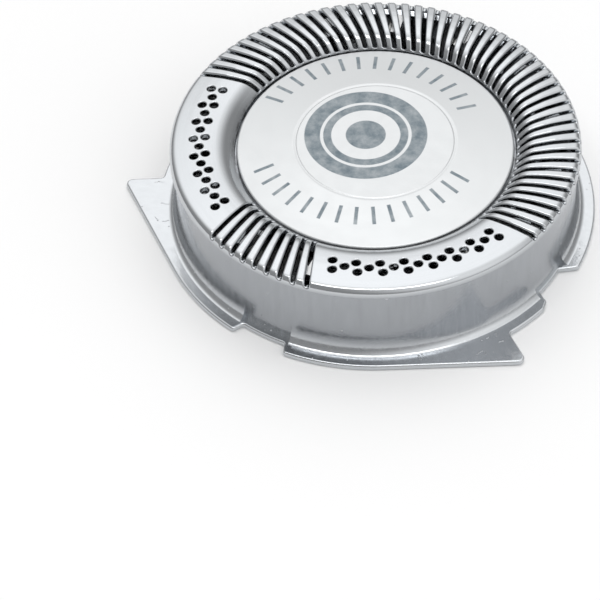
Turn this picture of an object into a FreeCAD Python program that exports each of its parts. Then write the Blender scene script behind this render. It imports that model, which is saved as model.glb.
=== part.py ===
import FreeCAD, Part

import math
import os

# Rotary shaver head: a slotted guard cap with its cover disc, and the cutter that spins inside it.
# Millimetres. The origin is on the spin axis at the underside of the flange, +Z points to the
# shaving face, and -Y points to the gap between the two locating wings.
# Plan angles are in degrees from -Y, growing towards +X.

# Guard cap, sheet and wall
sheet = 0.35                # thickness of the drawn sheet
wall_radius = 11.1          # outside of the straight wall
mouth_rounding = 0.3        # inside edge of the open end
lip_proud = 0.2             # how far the rim stands out past the wall
lip_drop = 0.82             # from the land down to where the rim leaves the wall
lip_rise = 0.14             # height of the sloped underside of the rim

# Guard cap, shaving ring
crown_height = 5.42         # land of the ring above the flange's underside
land_inner = 8.76           # the land is flat from here
land_outer = 10.60          # to here, where the bevel down to the rim begins
shoulder_radius = 8.36      # where the slope to the disc begins
shoulder_drop = 0.16
track_inner = 8.70          # inner edge of the blades' track

# Guard cap, seat of the cover disc
seat_radius = 7.75          # wall round the cover disc
seat_drop = 1.02            # from the land down to the face that the disc lies on
foot_rise = 0.32            # foot of the slope from the ring, above that face
floor_thickness = 0.30

# Guard cap, hair slots and holes
slot_pitch = 4.0            # degrees from slot to slot
slot_width = 0.26
slot_slant = 13.8           # degrees off radial, outer end ahead
slot_middle = 9.70          # radius at which the angles of the slots count
front_slots = 9
back_slots = 49
slots_turn = -4.8           # middle of the front slots
hole_diameter = 0.46
hole_sides = 10             # each hole is drawn with this many flat sides
hole_pairs = 8              # in each of the two fields, with single holes between the pairs
hole_pitch = 7.77           # degrees from pair to pair
hole_offset = 7.2           # degrees from the last front slot to the first pair
hole_row_radius = 9.65      # single holes
hole_row_gap = 0.65         # radial distance between the two holes of a pair
hole_pair_slant = 0.8       # degrees between the two holes of a pair

# Guard cap, flange
flange_radius = 12.2
front_rim_radius = 11.55    # flange left in the gap between the wings
side_rim_radius = 11.3      # flange left in the two side gaps
front_gap = 6.6             # half angle of the front gap
step_turn = 1.0             # angle taken by the slanted step beside the front gap
wing_tip_angle = 66.1
wing_reach = 2.20           # past the flange to the wing's sharp corner, before rounding
wing_tip_rounding = 0.35
notch_angle = 67.9
notch_rounding = 0.25
tab_end = 80.0
tab_corner = 82.6
tab_corner_cut = 0.25
side_gap_start = 84.0
side_gap_end = 94.2
back_start = 97.2
flare_width = 0.40          # concave foot of the wall, on the flange's sectors
flare_height = 1.00
flare_chords = 2

# Cover disc
disc_play = 0.12            # gap round the disc
disc_thickness = 0.30
disc_edge_height = 0.34     # top of the disc at its edge, above its seat
disc_edge_rounding = 0.14
disc_rise = 0.43            # from the edge to the flat middle
disc_middle_radius = 4.42   # flat middle

# Centre pin
pin_radius = 1.50
pin_reach = 0.05            # how far the pin goes below the cutter ring
spigot_radius = 1.00
spigot_play = 0.02
rivet_radius = 1.45
rivet_height = 0.25
pin_chamfer = 0.2

# Drive hub
hub_radius = 3.30
hub_reach = 1.80            # how far the hub goes below the cutter ring
hub_floor_gap = 0.20        # between the hub and the guard's floor
bore_play = 0.05
bore_end_gap = 0.15         # under the pin's end
collar_radius = 4.70
collar_thickness = 0.45
socket_length = 4.40
socket_width = 2.40
socket_depth = 1.15
socket_mouth = 0.25
hub_rounding = 0.25

# Cutter ring
cutter_drop = 1.70          # from the underside of the guard's floor to that of the ring
cutter_thickness = 0.40
cutter_bore_play = 0.02
cutter_plate_radius = 7.20
blades = 15
blade_inner = 8.85
blade_outer = 10.35
blade_thickness = 0.42
blade_lean = 30.0           # degrees from upright, edge leading
blade_gap = 0.06            # between the blades' edges and the guard's track
spoke_width = 1.70
spoke_waist = 1.10
blade_phase = 7.0           # angle of the first blade at rest

# Lifter ring
lifter_thickness = 0.12
lifter_plate_radius = 6.60
lifter_gap = 0.14           # between a lifter and its blade
lifter_width = 1.20
lifter_drop = 0.16          # lifter tips below the blades' edges
lifter_strip = 0.90

# Retaining ring
retainer_radius = 4.35
retainer_thickness = 0.35
retainer_teeth = 6
retainer_slit = 0.30
retainer_slit_depth = 0.45

# Worked out from the values above
wall_inner = wall_radius - sheet
rim_radius = wall_radius + lip_proud
track_ceiling = crown_height - sheet
seat_height = crown_height - seat_drop
slope_foot = seat_height + foot_rise
lip_low = crown_height - lip_drop
floor_low = seat_height - floor_thickness
wing_tip_radius = flange_radius + wing_reach
disc_radius = seat_radius - disc_play
cutter_low = floor_low - cutter_drop
cutter_top = cutter_low + cutter_thickness
blade_top = track_ceiling - blade_gap
hub_top = floor_low - hub_floor_gap
hub_low = cutter_low - hub_reach
pin_low = cutter_low - pin_reach
bore_radius = pin_radius + bore_play
bore_bottom = pin_low - bore_end_gap

ORIGIN = FreeCAD.Vector(0, 0, 0)
UP = FreeCAD.Vector(0, 0, 1)


def section_point(radius, height):
    """A point of a turned section, in the XZ plane."""
    return FreeCAD.Vector(radius, 0, height)


def plan_point(radius, angle, height=0.0):
    """A point in plan, its angle in degrees from -Y towards +X."""
    turn = math.radians(angle)
    return FreeCAD.Vector(radius * math.sin(turn), -radius * math.cos(turn), height)


def bevel(before, point, after, radius):
    """The two points where a rounding of that radius would begin and end."""
    back = (before - point).normalize()
    ahead = (after - point).normalize()
    reach = radius / math.tan(back.getAngle(ahead) / 2)
    return [point + back * reach, point + ahead * reach]


def bevelled_face(corners):
    """A flat face from corners: a point alone is sharp, (point, radius) is bevelled."""
    places = [corner[0] if isinstance(corner, tuple) else corner for corner in corners]
    points = []
    for index, corner in enumerate(corners):
        if isinstance(corner, tuple):
            after = places[(index + 1) % len(places)]
            points += bevel(places[index - 1], corner[0], after, corner[1])
        else:
            points.append(corner)
    return Part.Face(Part.makePolygon(points + points[:1]))


def turned(corners, start=0.0, sweep=360.0):
    """A solid turned about the spin axis from a section."""
    solid = bevelled_face(corners).revolve(ORIGIN, UP, sweep)
    solid.rotate(ORIGIN, UP, start - 90)
    return solid


def arc_in_plan(radius, start, end):
    """An arc about the spin axis between two plan angles."""
    middle = plan_point(radius, (start + end) / 2)
    return Part.Arc(plan_point(radius, start), middle, plan_point(radius, end)).toShape()


def edges_at(solid, points, reach=0.05):
    """The upright edges of a plate that stand at the given plan points."""
    found = []
    for edge in solid.Edges:
        middle = edge.CenterOfMass
        upright = abs(edge.tangentAt(edge.FirstParameter).z) > 0.9
        for point in points:
            if upright and math.hypot(middle.x - point.x, middle.y - point.y) < reach:
                found.append(edge)
    return found


def cap_shell():
    """Wall, rim, shaving ring, slope and disc seat, turned in one section."""
    shoulder_height = crown_height - shoulder_drop
    slope_run = shoulder_radius - seat_radius
    slope_rise = shoulder_height - slope_foot
    under_run = track_inner - seat_radius - floor_thickness
    under_height = track_ceiling - under_run * slope_rise / slope_run
    outside = [
        section_point(spigot_radius, seat_height),
        section_point(seat_radius, seat_height),
        section_point(seat_radius, slope_foot),
        section_point(shoulder_radius, shoulder_height),
        section_point(land_inner, crown_height),
        section_point(land_outer, crown_height),
        section_point(rim_radius, track_ceiling),
        section_point(rim_radius, lip_low + lip_rise),
        section_point(wall_radius, lip_low),
        section_point(wall_radius, 0),
    ]
    inside = [
        (section_point(wall_inner, 0), mouth_rounding),
        section_point(wall_inner, track_ceiling),
        section_point(track_inner, track_ceiling),
        section_point(seat_radius + floor_thickness, under_height),
        section_point(seat_radius + floor_thickness, floor_low),
        section_point(spigot_radius, floor_low),
    ]
    return turned(outside + inside)


def flange_half():
    """One half of the flange, from the front gap round to the back."""
    inner = wall_inner + mouth_rounding
    tangent_angle = wing_tip_angle - math.degrees(math.acos(flange_radius / wing_tip_radius))
    tip = plan_point(wing_tip_radius, wing_tip_angle)
    notch = plan_point(flange_radius, notch_angle)
    tab = plan_point(flange_radius, tab_end)
    corner = plan_point(flange_radius - tab_corner_cut, tab_corner)
    gap = plan_point(side_rim_radius, side_gap_start)
    edges = [
        Part.LineSegment(plan_point(inner, 0), plan_point(front_rim_radius, 0)).toShape(),
        arc_in_plan(front_rim_radius, 0, front_gap),
        Part.LineSegment(plan_point(front_rim_radius, front_gap),
                         plan_point(flange_radius, front_gap + step_turn)).toShape(),
        arc_in_plan(flange_radius, front_gap + step_turn, tangent_angle),
        Part.LineSegment(plan_point(flange_radius, tangent_angle), tip).toShape(),
        Part.LineSegment(tip, notch).toShape(),
        arc_in_plan(flange_radius, notch_angle, tab_end),
        Part.LineSegment(tab, corner).toShape(),
        Part.LineSegment(corner, gap).toShape(),
        arc_in_plan(side_rim_radius, side_gap_start, side_gap_end),
        Part.LineSegment(plan_point(side_rim_radius, side_gap_end),
                         plan_point(flange_radius, back_start)).toShape(),
        arc_in_plan(flange_radius, back_start, 180),
        Part.LineSegment(plan_point(flange_radius, 180), plan_point(inner, 180)).toShape(),
        arc_in_plan(inner, 180, 0),
    ]
    plate = Part.Face(Part.Wire(edges)).extrude(UP * sheet)
    plate = plate.makeFillet(wing_tip_rounding, edges_at(plate, [tip]))
    return plate.makeFillet(notch_rounding, edges_at(plate, [notch]))


def flange():
    """Both halves of the flange, joined front and back."""
    half = flange_half()
    return half.fuse(half.mirror(ORIGIN, FreeCAD.Vector(1, 0, 0))).removeSplitter()


def flares():
    """The concave foot of the wall, on each sector that has a flange."""
    bend = (flare_width ** 2 + flare_height ** 2) / (2 * flare_width)
    turn = math.atan2(flare_height, bend - flare_width)
    centre = section_point(wall_radius + bend, sheet + flare_height)
    root = wall_radius - sheet / 2
    points = [section_point(root, sheet), section_point(root, sheet + flare_height)]
    for step in range(flare_chords + 1):
        angle = turn * step / flare_chords
        points.append(centre - section_point(bend * math.cos(angle), bend * math.sin(angle)))
    side_start = front_gap + step_turn / 2
    sectors = [
        (side_start, side_gap_start),
        (side_gap_end, 360 - side_gap_end),
        (360 - side_gap_start, 360 - side_start),
    ]
    return [turned(points, start, end - start) for start, end in sectors]


def saw_cut(angle):
    """One slanted hair slot through the ring and the rim, as deep as the sheet."""
    inward = slot_middle - seat_radius
    length = inward + (rim_radius - slot_middle) + 2 * slot_width
    blade = Part.makeBox(length, slot_width, sheet, FreeCAD.Vector(-inward, -slot_width / 2, 0))
    blade.rotate(ORIGIN, UP, slot_slant)
    blade.translate(FreeCAD.Vector(slot_middle, 0, track_ceiling))
    blade.rotate(ORIGIN, UP, angle - 90)
    return blade


def hair_hole(radius, angle):
    """One hole through the ring, round but for its small flat sides."""
    centre = plan_point(radius, angle, floor_low)
    corners = [centre + plan_point(hole_diameter / 2, 360 / hole_sides * side)
               for side in range(hole_sides)]
    return Part.Face(Part.makePolygon(corners + corners[:1])).extrude(UP * crown_height)


def hair_openings():
    """Both groups of slots and both fields of holes."""
    tools = []
    for middle, count in ((slots_turn, front_slots), (slots_turn + 180, back_slots)):
        for index in range(count):
            tools.append(saw_cut(middle + slot_pitch * (index - (count - 1) / 2)))
    field_start = slot_pitch * (front_slots - 1) / 2 + hole_offset
    for side in (1, -1):
        for pair in range(hole_pairs):
            angle = slots_turn + side * (field_start + hole_pitch * pair)
            for end in (1, -1):
                radius = hole_row_radius + end * hole_row_gap / 2
                tools.append(hair_hole(radius, angle + end * hole_pair_slant / 2))
            if pair < hole_pairs - 1:
                tools.append(hair_hole(hole_row_radius, angle + side * hole_pitch / 2))
    return tools


def guard_cap():
    """The drawn, slotted and perforated cap with its flange."""
    cap = cap_shell().fuse([flange()] + flares()).removeSplitter()
    return cap.cut(hair_openings())


def cover_disc():
    """Shallow pressed disc that closes the middle of the ring."""
    top = seat_height + disc_edge_height
    middle_height = top + disc_rise
    corners = [
        section_point(0, middle_height),
        section_point(disc_middle_radius, middle_height),
        (section_point(disc_radius, top), disc_edge_rounding),
        section_point(disc_radius, seat_height),
        section_point(disc_radius - disc_thickness, seat_height),
        section_point(disc_middle_radius - disc_thickness, middle_height - disc_thickness),
        section_point(0, middle_height - disc_thickness),
    ]
    return turned(corners)


def centre_pin():
    """Pin that the cutter turns on, riveted through the floor of the guard."""
    spigot = spigot_radius - spigot_play
    corners = [
        section_point(0, pin_low),
        (section_point(pin_radius, pin_low), pin_chamfer),
        section_point(pin_radius, floor_low),
        section_point(spigot, floor_low),
        section_point(spigot, seat_height),
        section_point(rivet_radius, seat_height),
        (section_point(rivet_radius, seat_height + rivet_height), pin_chamfer),
        section_point(0, seat_height + rivet_height),
    ]
    return turned(corners)


def drive_hub():
    """Moulded hub with a bore for the pin above and the drive socket below."""
    corners = [
        section_point(0, hub_low),
        (section_point(hub_radius, hub_low), hub_rounding),
        section_point(hub_radius, cutter_low - collar_thickness),
        section_point(collar_radius, cutter_low - collar_thickness),
        section_point(collar_radius, cutter_low),
        section_point(hub_radius, cutter_low),
        section_point(hub_radius, hub_top),
        section_point(bore_radius, hub_top),
        section_point(bore_radius, bore_bottom),
        section_point(0, bore_bottom),
    ]
    return turned(corners).cut(drive_socket())


def oblong(length, width, height):
    """Outline of an oblong with round ends, at a height."""
    straight = (length - width) / 2
    radius = width / 2
    right = FreeCAD.Vector(straight + radius, 0, height)
    left = FreeCAD.Vector(-straight - radius, 0, height)
    front_right = FreeCAD.Vector(straight, -radius, height)
    front_left = FreeCAD.Vector(-straight, -radius, height)
    back_right = FreeCAD.Vector(straight, radius, height)
    back_left = FreeCAD.Vector(-straight, radius, height)
    return Part.Wire([
        Part.LineSegment(front_left, front_right).toShape(),
        Part.Arc(front_right, right, back_right).toShape(),
        Part.LineSegment(back_right, back_left).toShape(),
        Part.Arc(back_left, left, front_left).toShape(),
    ])


def drive_socket():
    """Oblong blind socket with a flared mouth."""
    narrow = Part.Face(oblong(socket_length, socket_width, hub_low)).extrude(UP * socket_depth)
    wide = oblong(socket_length + 2 * socket_mouth, socket_width + 2 * socket_mouth, hub_low)
    neck = oblong(socket_length, socket_width, hub_low + socket_mouth)
    return narrow.fuse(Part.makeLoft([wide, neck], True))


def leaning_strip(inner, outer, low, high, back, thickness):
    """An upright strip along X that leans towards +Y; back is its rear face at the low end."""
    lean = (high - low) * math.tan(math.radians(blade_lean))
    points = [
        FreeCAD.Vector(inner, back, low),
        FreeCAD.Vector(inner, back + thickness, low),
        FreeCAD.Vector(inner, back + thickness + lean, high),
        FreeCAD.Vector(inner, back + lean, high),
    ]
    outline = Part.Wire(Part.makePolygon(points + points[:1]).Edges)
    return Part.Face(outline).extrude(FreeCAD.Vector(outer - inner, 0, 0))


def spoke(inner, outer, width, waist, low, thickness):
    """A flat spoke along X, narrower towards the middle."""
    points = [
        FreeCAD.Vector(inner, -waist / 2, low),
        FreeCAD.Vector(blade_inner, -width / 2, low),
        FreeCAD.Vector(outer, -width / 2, low),
        FreeCAD.Vector(outer, width / 2, low),
        FreeCAD.Vector(blade_inner, width / 2, low),
        FreeCAD.Vector(inner, waist / 2, low),
    ]
    outline = Part.Wire(Part.makePolygon(points + points[:1]).Edges)
    return Part.Face(outline).extrude(UP * thickness)


def blade_angles():
    """Plan angles of the blades at rest."""
    return [blade_phase + 360 / blades * index for index in range(blades)]


def ring_plate(inner, outer, low, thickness):
    """A flat washer about the spin axis."""
    plate = Part.makeCylinder(outer, thickness, FreeCAD.Vector(0, 0, low), UP)
    return plate.cut(Part.makeCylinder(inner, thickness, FreeCAD.Vector(0, 0, low), UP))


def cutter_ring():
    """Stamped ring with spokes whose ends are bent up into leaning blades."""
    across = blade_thickness / math.cos(math.radians(blade_lean))
    arms = []
    for angle in blade_angles():
        blade = leaning_strip(blade_inner, blade_outer, cutter_low, blade_top, -spoke_width / 2, across)
        flat = spoke(cutter_plate_radius - spoke_waist, blade_outer, spoke_width, spoke_waist,
                     cutter_low, cutter_thickness)
        arm = flat.fuse(blade)
        arm.rotate(ORIGIN, UP, angle - 90)
        arms.append(arm)
    plate = ring_plate(hub_radius + cutter_bore_play, cutter_plate_radius, cutter_low, cutter_thickness)
    return plate.fuse(arms).removeSplitter()


def lifter_ring():
    """Thin spring ring whose lifters stand just ahead of the blades."""
    lean = math.tan(math.radians(blade_lean))
    across = lifter_thickness / math.cos(math.radians(blade_lean))
    blade_across = blade_thickness / math.cos(math.radians(blade_lean))
    gap_across = lifter_gap / math.cos(math.radians(blade_lean))
    front = -spoke_width / 2 + blade_across + cutter_thickness * lean
    back = front + gap_across
    outer = (blade_inner + blade_outer + lifter_width) / 2
    inner = outer - lifter_width
    low = cutter_top
    arms = []
    for angle in blade_angles():
        lifter = leaning_strip(inner, outer, low, blade_top - lifter_drop, back, across)
        reach = lifter_plate_radius - lifter_strip
        strip = Part.makeBox(outer - reach, lifter_strip, lifter_thickness,
                             FreeCAD.Vector(reach, back, low))
        arm = strip.fuse(lifter)
        arm.rotate(ORIGIN, UP, angle - 90)
        arms.append(arm)
    plate = ring_plate(hub_radius + cutter_bore_play, lifter_plate_radius, low, lifter_thickness)
    return plate.fuse(arms).removeSplitter()


def retaining_ring():
    """Push-on ring that clamps both rings to the hub's collar."""
    low = cutter_top + lifter_thickness
    ring = ring_plate(hub_radius, retainer_radius, low, retainer_thickness)
    slits = []
    for index in range(retainer_teeth):
        slit = Part.makeBox(retainer_slit_depth + hub_radius, retainer_slit, retainer_thickness,
                            FreeCAD.Vector(0, -retainer_slit / 2, low))
        slit.rotate(ORIGIN, UP, 360 / retainer_teeth * index)
        slits.append(slit)
    return ring.cut(slits)


def write(name, shape):
    """Check a piece and write it as a STEP file."""
    solid = shape.Solids[0] if len(shape.Solids) == 1 else shape
    valid = solid.isValid() and len(shape.Solids) == 1
    print(f"{name}: {len(shape.Solids)} solid, volume {shape.Volume:.2f}, valid {valid}")
    if not valid:
        raise ValueError(f"{name} is not one valid solid")
    solid.exportStep(f"parts/{name}.step")


os.makedirs("parts", exist_ok=True)
write("guard_cap", guard_cap())
write("cover_disc", cover_disc())
write("centre_pin", centre_pin())
write("drive_hub", drive_hub())
write("cutter_ring", cutter_ring())
write("lifter_ring", lifter_ring())
write("retaining_ring", retaining_ring())
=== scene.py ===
"""Rotary shaver head: a slotted guard cap with its cover disc, and the cutter that spins inside it."""

import math

import bpy
import numpy as np
from mathutils import Matrix, Vector
from mathutils.geometry import delaunay_2d_cdt


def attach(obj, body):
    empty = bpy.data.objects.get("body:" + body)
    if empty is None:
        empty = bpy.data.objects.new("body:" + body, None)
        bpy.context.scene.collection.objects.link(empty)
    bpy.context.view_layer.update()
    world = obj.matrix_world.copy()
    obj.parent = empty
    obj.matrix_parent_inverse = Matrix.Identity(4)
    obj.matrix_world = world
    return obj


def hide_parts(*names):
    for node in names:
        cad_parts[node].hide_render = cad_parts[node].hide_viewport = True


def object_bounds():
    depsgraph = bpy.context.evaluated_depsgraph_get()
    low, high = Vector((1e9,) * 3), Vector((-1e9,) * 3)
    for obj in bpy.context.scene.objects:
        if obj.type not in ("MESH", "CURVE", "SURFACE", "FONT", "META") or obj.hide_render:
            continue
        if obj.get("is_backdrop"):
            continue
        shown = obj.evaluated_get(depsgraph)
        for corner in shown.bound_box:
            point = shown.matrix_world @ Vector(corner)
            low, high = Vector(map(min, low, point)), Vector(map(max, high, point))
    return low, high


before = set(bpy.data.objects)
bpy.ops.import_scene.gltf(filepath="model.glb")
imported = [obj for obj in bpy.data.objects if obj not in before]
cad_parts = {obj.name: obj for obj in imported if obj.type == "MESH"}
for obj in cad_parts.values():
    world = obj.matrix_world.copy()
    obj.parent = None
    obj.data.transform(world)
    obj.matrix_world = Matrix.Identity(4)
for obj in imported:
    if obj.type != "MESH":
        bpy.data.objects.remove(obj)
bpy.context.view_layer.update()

bl_info = {
    "name": "Rotary Shaver Head",
    "version": (1, 0, 0),
    "blender": (4, 5, 0),
    "location": "View3D > Sidebar > Shaver Head",
    "description": "Dresses a shaver head's guard, cover disc and cutter, and lights them in a small studio",
    "category": "Object",
}

MM = 0.001


# Colours and shader nodes


def linear(code, share=1.0):
    """A share of an sRGB hex colour such as 'd0d2d3', as linear red, green, blue and alpha."""
    channels = [int(code[i:i + 2], 16) / 255 for i in (0, 2, 4)]
    straight = [c / 12.92 if c <= 0.04045 else ((c + 0.055) / 1.055) ** 2.4 for c in channels]
    return [c * share for c in straight] + [1.0]


def add_node(tree, kind, inputs=None, **settings):
    """A shader node with its settings; an input takes a value, a socket or another node's output in use."""
    made = tree.nodes.new(kind)
    for name, value in settings.items():
        setattr(made, name, value)
    for key, value in (inputs or {}).items():
        socket = made.inputs[key] if isinstance(key, int) else next(
            s for s in made.inputs if s.enabled and s.name == key)
        if isinstance(value, bpy.types.Node):
            value = next(s for s in value.outputs if s.enabled)
        if isinstance(value, bpy.types.NodeSocket):
            tree.links.new(value, socket)
        else:
            socket.default_value = value
    return made


def new_material(name):
    """An empty material and its node tree."""
    material = bpy.data.materials.new(name)
    material.use_nodes = True
    material.node_tree.nodes.clear()
    return material, material.node_tree


def finish_surface(tree, inputs):
    """The principled shader with its inputs, led to the material's output."""
    shader = add_node(tree, "ShaderNodeBsdfPrincipled", inputs)
    add_node(tree, "ShaderNodeOutputMaterial", {"Surface": shader})


def polar(tree):
    """Nodes that give a point's plan angle, its radius and its height, both in millimetres."""
    place = add_node(tree, "ShaderNodeTexCoord").outputs["Object"]
    sized = add_node(tree, "ShaderNodeVectorMath", {0: place, 3: 1 / MM}, operation="SCALE")
    parts = add_node(tree, "ShaderNodeSeparateXYZ", {0: sized})
    flat = add_node(tree, "ShaderNodeVectorMath", {0: sized, 1: (1, 1, 0)}, operation="MULTIPLY")
    radius = add_node(tree, "ShaderNodeVectorMath", {0: flat}, operation="LENGTH").outputs["Value"]
    angle = add_node(tree, "ShaderNodeMath", {0: parts.outputs["Y"], 1: parts.outputs["X"]},
                     operation="ARCTAN2")
    return angle, radius, parts.outputs["Z"]


def grain_noise(tree, around, across, high, detail=3.0):
    """Noise whose grains have the given sizes in millimetres round the axis, along the radius and upwards."""
    angle, radius, height = polar(tree)
    grain = add_node(tree, "ShaderNodeCombineXYZ", {
        "X": add_node(tree, "ShaderNodeMath", {0: angle, 1: WALL / around}, operation="MULTIPLY"),
        "Y": add_node(tree, "ShaderNodeMath", {0: radius, 1: 1 / across}, operation="MULTIPLY"),
        "Z": add_node(tree, "ShaderNodeMath", {0: height, 1: 1 / high}, operation="MULTIPLY"),
    })
    return add_node(tree, "ShaderNodeTexNoise", {
        "Vector": grain, "Scale": 1.0, "Detail": detail, "Roughness": 0.6})


def specks(tree, pitch, size, share):
    """1 in small grains of a size in millimetres, one to each cell of the pitch in a share of the cells."""
    place = add_node(tree, "ShaderNodeTexCoord").outputs["Object"]
    cells = add_node(tree, "ShaderNodeTexVoronoi", {
        "Vector": place, "Scale": 1 / (pitch * MM), "Randomness": 1.0})
    near = add_node(tree, "ShaderNodeMapRange", {
        "Value": cells.outputs["Distance"], "From Min": size / pitch, "From Max": 0.5 * size / pitch})
    chosen = add_node(tree, "ShaderNodeMath", {0: cells.outputs["Color"], 1: share}, operation="LESS_THAN")
    return add_node(tree, "ShaderNodeMath", {0: near, 1: chosen}, operation="MULTIPLY")


def scuffs(tree, marks, width):
    """1 along slightly wavering scratches, each from one plan point to another in millimetres."""
    place = add_node(tree, "ShaderNodeTexCoord").outputs["Object"]
    flat = add_node(tree, "ShaderNodeVectorMath", {0: place, 1: (1 / MM, 1 / MM, 0)}, operation="MULTIPLY")
    # A scratch wavers, and its width changes, over about 0.2 mm
    wander = add_node(tree, "ShaderNodeTexNoise", {"Vector": flat, "Scale": 5.0, "Detail": 3.0})
    shifted = add_node(tree, "ShaderNodeVectorMath", {0: wander.outputs["Color"], 1: (0.5, 0.5, 0.5)},
                       operation="SUBTRACT")
    sized = add_node(tree, "ShaderNodeVectorMath", {0: shifted, 1: (0.3, 0.3, 0), 2: flat},
                     operation="MULTIPLY_ADD")
    nearest = None
    for start, end in marks:
        first, run = Vector((*start, 0)), Vector((*end, 0)) - Vector((*start, 0))
        offset = add_node(tree, "ShaderNodeVectorMath", {0: sized, 1: first}, operation="SUBTRACT")
        share = add_node(tree, "ShaderNodeVectorMath", {0: offset, 1: run / run.length_squared},
                         operation="DOT_PRODUCT").outputs["Value"]
        held = add_node(tree, "ShaderNodeClamp", {"Value": share})
        foot = add_node(tree, "ShaderNodeVectorMath", {0: run, 3: held}, operation="SCALE")
        gap = add_node(tree, "ShaderNodeVectorMath", {0: offset, 1: foot},
                       operation="DISTANCE").outputs["Value"]
        nearest = gap if nearest is None else add_node(
            tree, "ShaderNodeMath", {0: nearest, 1: gap}, operation="MINIMUM")
    reach = add_node(tree, "ShaderNodeMapRange", {
        "Value": wander, "From Min": 0.35, "From Max": 0.65, "To Min": 0.2 * width, "To Max": width})
    return add_node(tree, "ShaderNodeMapRange", {"Value": nearest, "From Min": reach, "From Max": 0.0})


# Materials


def guard_steel(drawn, polished):
    """Stainless steel, deep drawn: a satin wall, darker with painted shade, with upright draw lines, and a shaving
    face polished bright.
    """
    material, tree = new_material("stainless_steel_drawn")
    _, radius, height = polar(tree)
    place = add_node(tree, "ShaderNodeTexCoord").outputs["Object"]
    face = add_node(tree, "ShaderNodeMapRange", {
        "Value": height, "From Min": FACE_HEIGHTS[0], "From Max": FACE_HEIGHTS[1]})
    foot = add_node(tree, "ShaderNodeMapRange", {
        "Value": height, "From Min": FOOT_HEIGHTS[0], "From Max": FOOT_HEIGHTS[1]})

    # Draw lines up the wall are 0.3 mm apart. Polishing marks round the face are drawn 0.08 mm apart, coarser than
    # real, so that they show
    lines = grain_noise(tree, 0.3, 0.6, 2.2)
    fine = grain_noise(tree, 5.0, 0.08, 0.08)
    # Fine dust with a few larger specks, and the scratches on the wings
    dust = add_node(tree, "ShaderNodeMath", {0: specks(tree, 0.45, 0.045, 0.4), 1: specks(tree, 1.3, 0.09, 0.25)},
                    operation="MAXIMUM")
    worn = add_node(tree, "ShaderNodeMath", {0: scuffs(tree, SCUFFS, 0.045), 1: dust}, operation="MAXIMUM")
    marks = add_node(tree, "ShaderNodeMapRange", {"Value": face, "To Min": worn, "To Max": 0.0})

    # The wall's tone is a darker copy of the face's steel: painted shade for the dark surroundings it reflects,
    # with real draw lines over it; the flange below takes the face's tone
    shaded_wall_tone = add_node(tree, "ShaderNodeMix", {
        "Factor": lines, "A": linear(drawn, 0.82), "B": linear(drawn, 1.1)}, data_type="RGBA")
    shaded_wall_to_flange = add_node(tree, "ShaderNodeMix", {
        "Factor": foot, "A": shaded_wall_tone, "B": linear(polished)}, data_type="RGBA")
    face_tone = add_node(tree, "ShaderNodeMix", {
        "Factor": fine, "A": linear(polished, 0.9), "B": linear(polished)}, data_type="RGBA")
    tone = add_node(tree, "ShaderNodeMix", {"Factor": face, "A": shaded_wall_to_flange, "B": face_tone}, data_type="RGBA")

    # Painted shade, blotched, darkens the crevice round the disc
    crevice_blotches = grain_noise(tree, 0.9, 0.3, 0.3, 5.0)
    crevice_patches = add_node(tree, "ShaderNodeMapRange", {"Value": crevice_blotches, "From Min": 0.4, "From Max": 0.75})
    inward = add_node(tree, "ShaderNodeMapRange", {
        "Value": radius, "From Min": CREVICE_SHADE_RADII[1], "From Max": CREVICE_SHADE_RADII[0]})
    crevice_shade = add_node(tree, "ShaderNodeMath", {0: crevice_patches, 1: inward}, operation="MULTIPLY")
    crevice_shaded = add_node(tree, "ShaderNodeMix", {"Factor": crevice_shade, "A": tone, "B": linear("3b3a39")}, data_type="RGBA")
    marked = add_node(tree, "ShaderNodeMix", {
        "Factor": marks, "A": crevice_shaded, "B": linear("c8cacc")}, data_type="RGBA")

    rough = add_node(tree, "ShaderNodeMapRange", {
        "Value": lines, "From Min": 0.3, "From Max": 0.7, "To Min": 0.15, "To Max": 0.26})
    smooth = add_node(tree, "ShaderNodeMapRange", {
        "Value": fine, "From Min": 0.3, "From Max": 0.7, "To Min": 0.09, "To Max": 0.15})
    mixed = add_node(tree, "ShaderNodeMix", {"Factor": face, "A": rough, "B": smooth})
    scored = add_node(tree, "ShaderNodeMix", {"Factor": marks, "A": mixed, "B": 0.5})

    # The sheet rolls over about 2 mm, and its grain is drawn 0.2 mm wide, coarser than real, so that it shows
    waves = add_node(tree, "ShaderNodeTexNoise", {"Vector": place, "Scale": 0.45 / MM, "Detail": 1.0})
    pits = add_node(tree, "ShaderNodeTexNoise", {"Vector": place, "Scale": 5.0 / MM, "Detail": 3.0})
    rolling = add_node(tree, "ShaderNodeBump", {"Height": waves, "Strength": 0.1, "Distance": 0.15 * MM})
    coarse = add_node(tree, "ShaderNodeMapRange", {"Value": face, "To Min": 0.25, "To Max": 0.12})
    soft = add_node(tree, "ShaderNodeBump", {
        "Height": pits, "Strength": coarse, "Distance": 0.02 * MM, "Normal": rolling})
    relief = add_node(tree, "ShaderNodeBump", {
        "Height": marks, "Strength": 0.5, "Distance": 0.03 * MM, "Normal": soft})
    finish_surface(tree, {"Base Color": marked, "Metallic": 1.0, "Roughness": scored, "Normal": relief})
    return material


def plain_steel(name, colour, rough, around, across):
    """Steel, ground, rolled or turned: bright, with fine parallel marks of the given sizes in millimetres."""
    material, tree = new_material(name)
    # The marks are drawn two or three times as coarse as real, so that they show
    grain = grain_noise(tree, around, across, across)
    tone = add_node(tree, "ShaderNodeMix", {
        "Factor": grain, "A": linear(colour, 0.75), "B": linear(colour)}, data_type="RGBA")
    finish = add_node(tree, "ShaderNodeMapRange", {
        "Value": grain, "From Min": 0.3, "From Max": 0.7, "To Min": rough * 0.8, "To Max": rough * 1.3})
    relief = add_node(tree, "ShaderNodeBump", {"Height": grain, "Strength": 0.2, "Distance": 0.02 * MM})
    finish_surface(tree, {"Base Color": tone, "Metallic": 1.0, "Roughness": finish, "Normal": relief})
    return material


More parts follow.
